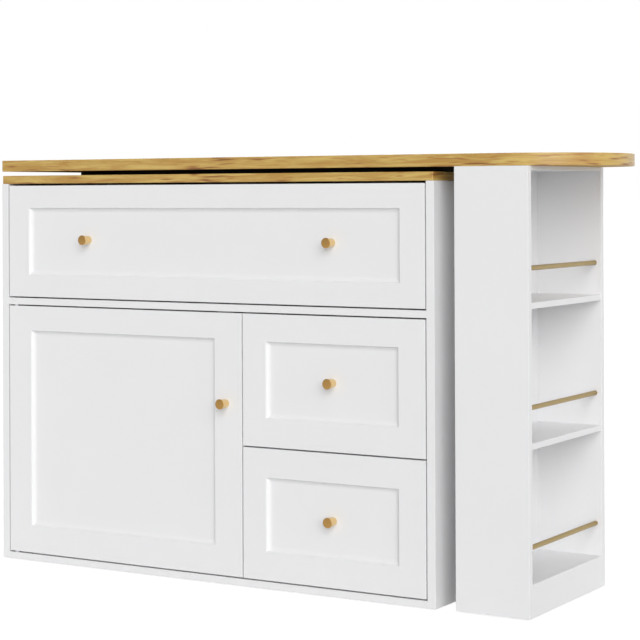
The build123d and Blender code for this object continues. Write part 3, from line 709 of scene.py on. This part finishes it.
class ISLAND_OT_knobs(bpy.types.Operator):
    """Make the turned brass knobs of the door and the drawers"""

    bl_idname = "island.knobs"
    bl_label = "Brass knobs"

    def execute(self, context):
        sizes = context.scene.island_sizes
        colours = context.scene.island_colours
        # Two copies of one brass: the paler one on the sides carries a painted highlight, the darker one on
        # the faces a painted shade; their roughness differs as well
        side_brass_painted_highlight = brass("polished_brass_painted_highlight", colours.knob_side_painted_highlight, grain=ALONG_Y, gloss=(0.2, 0.3))
        face_brass_painted_shade = brass("brushed_brass_painted_shade", colours.knob_face_painted_shade, grain=ALONG_X, gloss=(0.34, 0.46))
        for node, body in KNOB_NODES.items():
            low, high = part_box(node)
            face = (high.z - low.z) / 2
            centre_x, centre_z = (low.x + high.x) / 2, (low.z + high.z) / 2
            half_spread = (high.x - low.x) / 2 - face
            offsets = (-half_spread, half_spread) if half_spread > face else (0.0,)
            places = [(centre_x + offset, high.y, centre_z) for offset in offsets]
            profile = knob_profile(face, high.y - low.y, sizes)
            vertices, faces = turned(profile, places, (0, -1, 0))
            knob = make_piece(f"{node}_turned", vertices, faces, body, "satin_brass", side_brass_painted_highlight, [node])
            # Polygons on the knob's face take the darker brass, with its painted shade
            knob.data.materials.append(face_brass_painted_shade)
            on_face = vertices[[corners[0] for corners in faces], 1] < low.y + sizes.knob_ease
            knob.data.polygons.foreach_set("material_index", on_face.astype(np.int32))
            smooth_round(knob, KNOB_CREASE)
        return {"FINISHED"}


class ISLAND_OT_boards(bpy.types.Operator):
    """Give the painted boards and the drawer boxes their finish"""

    bl_idname = "island.boards"
    bl_label = "Painted boards"

    def execute(self, context):
        colours = context.scene.island_colours
        finish_nodes(
            satin_lacquer("satin_lacquer", colours.lacquer),
            "left_side_panel",
            "right_side_panel",
            "bottom_panel",
            "middle_deck",
            "centre_divider",
            "back_panel",
            "cupboard_shelf",
            "rack_front_panel",
            "rack_back_panel",
            "rack_inner_panel",
            "rack_plinth",
            "rack_shelves",
        )
        boxes = [f"{drawer}_{board}" for drawer in DRAWERS for board in ("sides", "back", "base")]
        finish_nodes(melamine("pearl_melamine", colours.melamine), *boxes)
        return {"FINISHED"}


class ISLAND_OT_fittings(bpy.types.Operator):
    """Give the slides, screws, bearing, rods and casters their finish"""

    bl_idname = "island.fittings"
    bl_label = "Metal and plastic fittings"

    def execute(self, context):
        colours = context.scene.island_colours
        rails = [f"{drawer}_{rail}" for drawer in DRAWERS for rail in ("box_rails", "middle_rails")]
        finish_nodes(
            zinc_steel("zinc_plated_steel", colours.zinc),
            *rails,
            "cabinet_rails",
            "shelf_pins",
            "door_pivot_pins",
            "door_bushes",
            "bearing_lower_screws",
            "top_fixing_screws",
            "door_knob_screw",
            "wide_drawer_knob_screws",
            "upper_drawer_knob_screw",
            "lower_drawer_knob_screw",
            "strike_plate",
            "bearing_balls",
            "caster_axles",
            "caster_brackets",
        )
        drawn_brass = brass("drawn_brass", colours.rod_brass, grain=ALONG_Y, gloss=(0.3, 0.42))
        finish_nodes(drawn_brass, "guard_rods")
        finish_nodes(
            powder_coat("black_powder_coat", colours.black_coat),
            "bearing_lower_plate",
            "bearing_upper_plate",
            "stiffener_bars",
        )
        finish_nodes(nylon("white_nylon", colours.nylon), "floor_glides", "magnetic_catch", "bearing_cage")
        finish_nodes(rubber("grey_rubber", colours.rubber), "front_caster_wheel", "rear_caster_wheel")
        return {"FINISHED"}


def soft_lamp(name, turn, rise, spread, strength):
    """A far soft lamp that shines from so far right of the front and above level, and looks so wide."""
    light = bpy.data.lights.new(name, "SUN")
    light.angle = spread
    light.energy = strength
    lamp = bpy.data.objects.new(name, light)
    lamp.rotation_euler = (math.pi / 2 - rise, 0, turn)
    bpy.context.scene.collection.objects.link(lamp)


def seen_directly(tree):
    """A socket that is 1 on rays to the camera, and on reflected and refracted ones."""
    path = add_node(tree, "ShaderNodeLightPath").outputs
    seen = path["Is Camera Ray"]
    for kind in ("Is Glossy Ray", "Is Transmission Ray"):
        seen = add_node(tree, "ShaderNodeMath", {0: seen, 1: path[kind]}, operation="MAXIMUM").outputs[0]
    return seen


def studio_world(light, room):
    """A studio that lights evenly. Where it is seen it is plain white, and reflections show that white
    backdrop behind the island and a dimmer room in front of it."""
    blend = 0.4
    world = bpy.data.worlds.new("studio_world")
    tree = cleared_tree(world)
    direction = add_node(tree, "ShaderNodeTexCoord").outputs["Generated"]
    depth = add_node(tree, "ShaderNodeSeparateXYZ", {"Vector": direction}).outputs["Y"]
    backdrop = add_node(
        tree,
        "ShaderNodeMapRange",
        {"Value": depth, "From Min": -blend, "From Max": blend, "To Min": room, "To Max": 1.0},
    ).outputs["Result"]
    camera_ray = add_node(tree, "ShaderNodeLightPath").outputs["Is Camera Ray"]
    seen = add_node(tree, "ShaderNodeMath", {0: camera_ray, 1: backdrop}, operation="MAXIMUM").outputs[0]
    level = add_node(
        tree, "ShaderNodeMapRange", {"Value": seen_directly(tree), "To Min": light, "To Max": seen}
    ).outputs["Result"]
    sky = add_node(tree, "ShaderNodeBackground", {"Color": WHITE, "Strength": level})
    add_node(tree, "ShaderNodeOutputWorld", {"Surface": sky.outputs["Background"]})
    return world


def studio_floor(colour, glow, shade):
    """A pale matt floor that lights the island from below. Where it is seen it glows almost to white,
    and a share of its own light, which the island shades, keeps a faint shadow."""
    material = bpy.data.materials.new("studio_floor")
    tree = cleared_tree(material)
    matt = add_node(tree, "ShaderNodeBsdfDiffuse", {"Color": colour})
    dim = add_node(tree, "ShaderNodeBsdfDiffuse", {"Color": shaded(colour, shade)})
    lit = add_node(tree, "ShaderNodeEmission", {"Color": WHITE, "Strength": glow})
    seen = add_node(tree, "ShaderNodeAddShader", {0: dim.outputs["BSDF"], 1: lit.outputs["Emission"]})
    floor = add_node(
        tree,
        "ShaderNodeMixShader",
        {0: seen_directly(tree), 1: matt.outputs["BSDF"], 2: seen.outputs["Shader"]},
    )
    add_node(tree, "ShaderNodeOutputMaterial", {"Surface": floor.outputs["Shader"]})
    return material


class ISLAND_OT_stage(bpy.types.Operator):
    """Set up the floor, the studio light and the camera"""

    bl_idname = "island.stage"
    bl_label = "Stage"

    def execute(self, context):
        scene = context.scene
        stage = scene.island_stage
        scene.view_settings.view_transform = "Standard"
        scene.world = studio_world(stage.world_light, stage.room_light)

        reach = stage.floor_reach
        corners = np.array([(-reach, -reach, 0), (reach, -reach, 0), (reach, reach, 0), (-reach, reach, 0)])
        mesh = bpy.data.meshes.new("floor")
        mesh.from_pydata(corners, [], [[0, 1, 2, 3]])
        floor_colour = scene.island_colours.floor
        mesh.materials.append(studio_floor(floor_colour, stage.floor_glow, stage.floor_shade))
        floor = bpy.data.objects.new("floor", mesh)
        scene.collection.objects.link(floor)

        soft_lamp("main_lamp", stage.main_turn, stage.main_rise, stage.main_spread, stage.main_light)
        soft_lamp("back_lamp", stage.back_turn, stage.back_rise, stage.back_spread, stage.back_light)
        soft_lamp("side_lamp", stage.side_turn, stage.side_rise, stage.side_spread, stage.side_light)

        data = bpy.data.cameras.new("camera")
        data.sensor_width = SENSOR_WIDTH
        data.lens = SENSOR_WIDTH * stage.focal_pixels / IMAGE_WIDTH
        data.shift_y = stage.horizon_row / IMAGE_WIDTH - 0.5
        camera = bpy.data.objects.new("camera", data)
        camera.matrix_world = (
            Matrix.Translation(stage.camera_place)
            @ Matrix.Rotation(stage.camera_turn, 4, "Z")
            @ Matrix.Rotation(math.pi / 2 + stage.camera_tilt, 4, "X")
            @ Matrix.Rotation(stage.camera_roll, 4, "Z")
        )
        scene.collection.objects.link(camera)
        scene.camera = camera
        return {"FINISHED"}


class ISLAND_PT_panel(bpy.types.Panel):
    """Lists the island's pieces, sizes and colours"""

    bl_idname = "ISLAND_PT_panel"
    bl_label = "Kitchen island"
    bl_space_type = "VIEW_3D"
    bl_region_type = "UI"
    bl_category = "Island"

    def draw(self, context):
        layout = self.layout
        for operator in OPERATORS:
            layout.operator(operator.bl_idname)
        for group in (context.scene.island_sizes, context.scene.island_colours, context.scene.island_stage):
            column = layout.column(align=True)
            for name in group.bl_rna.properties.keys():
                if name not in ("rna_type", "name"):
                    column.prop(group, name)


GROUPS = {"island_sizes": IslandSizes, "island_colours": IslandColours, "island_stage": IslandStage}
OPERATORS = (
    ISLAND_OT_boards,
    ISLAND_OT_fronts,
    ISLAND_OT_tops,
    ISLAND_OT_knobs,
    ISLAND_OT_fittings,
    ISLAND_OT_stage,
)


def register():
    """Register the classes and hang the settings on the scene."""
    for group in GROUPS.values():
        bpy.utils.register_class(group)
    for name, group in GROUPS.items():
        setattr(bpy.types.Scene, name, PointerProperty(type=group))
    for kind in (*OPERATORS, ISLAND_PT_panel):
        bpy.utils.register_class(kind)


def unregister():
    """Undo register, in the opposite order."""
    for kind in (ISLAND_PT_panel, *reversed(OPERATORS)):
        bpy.utils.unregister_class(kind)
    for name in reversed(GROUPS):
        delattr(bpy.types.Scene, name)
    for group in reversed(GROUPS.values()):
        bpy.utils.unregister_class(group)


def main():
    """Make every piece and the stage."""
    register()
    bpy.ops.island.boards()
    bpy.ops.island.fronts()
    bpy.ops.island.tops()
    bpy.ops.island.knobs()
    bpy.ops.island.fittings()
    bpy.ops.island.stage()


if __name__ == "__main__":
    main()
